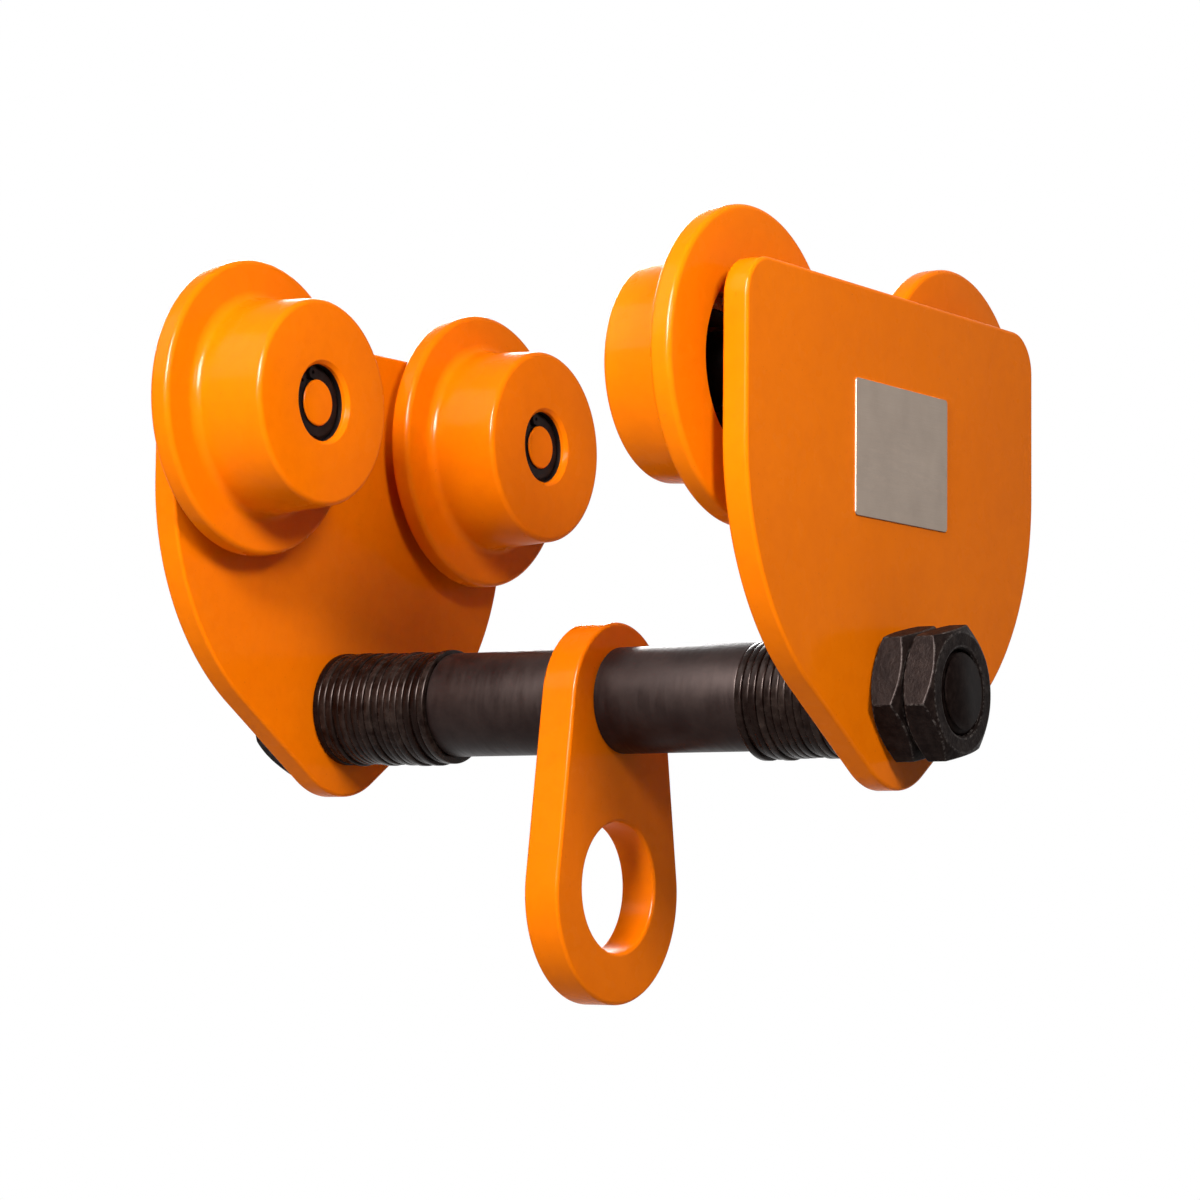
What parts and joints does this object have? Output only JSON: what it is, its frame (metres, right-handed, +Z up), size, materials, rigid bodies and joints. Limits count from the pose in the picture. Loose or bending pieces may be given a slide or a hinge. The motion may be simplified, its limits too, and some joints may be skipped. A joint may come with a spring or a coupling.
{
  "type": "beam trolley",
  "caption": "Plain push trolley that rolls on an I-beam's lower flange: side plates carry flanged ball-bearing wheels, and a washer-adjusted shaft between them carries a swinging load lug.",
  "frame": {"origin": "midway between the side plates, midway between the axles, on the level where the mean of each tread meets the beam flange", "axes": "+X along the suspension shaft from the left plate to the right plate, +Y along the beam, +Z up"},
  "size_m": [0.2423, 0.2084, 0.2233],
  "materials": {
    "plate_paint": "gloss orange paint",
    "wheel_paint": "gloss orange paint",
    "axle_paint": "gloss orange paint",
    "lug_paint": "gloss orange paint",
    "shaft_steel": "blackened",
    "washer_steel": "blackened",
    "tube_steel": "blackened, satin",
    "nut_steel": "blackened, rough forged",
    "bearing_steel": "ground",
    "ball_steel": "polished balls in a pressed cage",
    "spring_steel": "blackened spring steel"
  },
  "bodies": {
    "frame": {"side_plate_left": "plate_paint", "side_plate_right": "plate_paint", "bearing_inner_ring_left_front": "bearing_steel", "axle_left_front": "axle_paint", "circlip_left_front": "spring_steel", "bearing_inner_ring_left_rear": "bearing_steel", "axle_left_rear": "axle_paint", "circlip_left_rear": "spring_steel", "bearing_inner_ring_right_front": "bearing_steel", "axle_right_front": "axle_paint", "circlip_right_front": "spring_steel", "bearing_inner_ring_right_rear": "bearing_steel", "axle_right_rear": "axle_paint", "circlip_right_rear": "spring_steel", "suspension_shaft": "shaft_steel", "spacer_tube_left": "tube_steel", "spacer_tube_right": "tube_steel", "hex_nut": "nut_steel", "lock_nut": "nut_steel", "adjusting_washer_left_01": "washer_steel", "adjusting_washer_left_02": "washer_steel", "adjusting_washer_left_03": "washer_steel", "adjusting_washer_left_04": "washer_steel", "adjusting_washer_left_05": "washer_steel", "adjusting_washer_left_06": "washer_steel", "adjusting_washer_left_07": "washer_steel", "adjusting_washer_left_08": "washer_steel", "adjusting_washer_left_09": "washer_steel", "adjusting_washer_left_10": "washer_steel", "adjusting_washer_left_11": "washer_steel", "adjusting_washer_left_12": "washer_steel", "adjusting_washer_left_13": "washer_steel", "adjusting_washer_left_14": "washer_steel", "adjusting_washer_left_15": "washer_steel", "adjusting_washer_right_01": "washer_steel", "adjusting_washer_right_02": "washer_steel", "adjusting_washer_right_03": "washer_steel", "adjusting_washer_right_04": "washer_steel", "adjusting_washer_right_05": "washer_steel", "adjusting_washer_right_06": "washer_steel", "adjusting_washer_right_07": "washer_steel", "adjusting_washer_right_08": "washer_steel", "adjusting_washer_right_09": "washer_steel", "adjusting_washer_right_10": "washer_steel", "adjusting_washer_right_11": "washer_steel", "adjusting_washer_right_12": "washer_steel", "adjusting_washer_right_13": "washer_steel"},
    "wheel_left_front_body": {"wheel_left_front": "wheel_paint", "bearing_outer_ring_left_front": "bearing_steel"},
    "wheel_left_rear_body": {"wheel_left_rear": "wheel_paint", "bearing_outer_ring_left_rear": "bearing_steel"},
    "wheel_right_front_body": {"wheel_right_front": "wheel_paint", "bearing_outer_ring_right_front": "bearing_steel"},
    "wheel_right_rear_body": {"wheel_right_rear": "wheel_paint", "bearing_outer_ring_right_rear": "bearing_steel"},
    "cage_left_front_body": {"ball_cage_left_front": "ball_steel"},
    "cage_left_rear_body": {"ball_cage_left_rear": "ball_steel"},
    "cage_right_front_body": {"ball_cage_right_front": "ball_steel"},
    "cage_right_rear_body": {"ball_cage_right_rear": "ball_steel"},
    "lug_body": {"lug": "lug_paint"}
  },
  "joints": [
    {"name": "wheel_spin_left_front", "type": "hinge", "parent": "frame", "child": "wheel_left_front_body", "pos_m": [-0.0595, -0.0595, 0.03175], "axis": [1, 0, 0], "continuous": true},
    {"name": "wheel_spin_left_rear", "type": "hinge", "parent": "frame", "child": "wheel_left_rear_body", "pos_m": [-0.0595, 0.0595, 0.03175], "axis": [1, 0, 0], "continuous": true},
    {"name": "wheel_spin_right_front", "type": "hinge", "parent": "frame", "child": "wheel_right_front_body", "pos_m": [0.0595, -0.0595, 0.03175], "axis": [1, 0, 0], "continuous": true},
    {"name": "wheel_spin_right_rear", "type": "hinge", "parent": "frame", "child": "wheel_right_rear_body", "pos_m": [0.0595, 0.0595, 0.03175], "axis": [1, 0, 0], "continuous": true},
    {"name": "cage_spin_left_front", "type": "hinge", "parent": "frame", "child": "cage_left_front_body", "pos_m": [-0.0705, -0.0595, 0.03175], "axis": [1, 0, 0], "continuous": true},
    {"name": "cage_spin_left_rear", "type": "hinge", "parent": "frame", "child": "cage_left_rear_body", "pos_m": [-0.0705, 0.0595, 0.03175], "axis": [1, 0, 0], "continuous": true},
    {"name": "cage_spin_right_front", "type": "hinge", "parent": "frame", "child": "cage_right_front_body", "pos_m": [0.0705, -0.0595, 0.03175], "axis": [1, 0, 0], "continuous": true},
    {"name": "cage_spin_right_rear", "type": "hinge", "parent": "frame", "child": "cage_right_rear_body", "pos_m": [0.0705, 0.0595, 0.03175], "axis": [1, 0, 0], "continuous": true},
    {"name": "lug_swing", "type": "hinge", "parent": "frame", "child": "lug_body", "pos_m": [0.00255, 0, -0.05625], "axis": [1, 0, 0], "continuous": true}
  ],
  "couplings": [
    {"joint": "cage_spin_left_front", "follows": "wheel_spin_left_front", "ratio": 0.6111},
    {"joint": "cage_spin_left_rear", "follows": "wheel_spin_left_rear", "ratio": 0.6111},
    {"joint": "cage_spin_right_front", "follows": "wheel_spin_right_front", "ratio": 0.6111},
    {"joint": "cage_spin_right_rear", "follows": "wheel_spin_right_rear", "ratio": 0.6111}
  ]
}
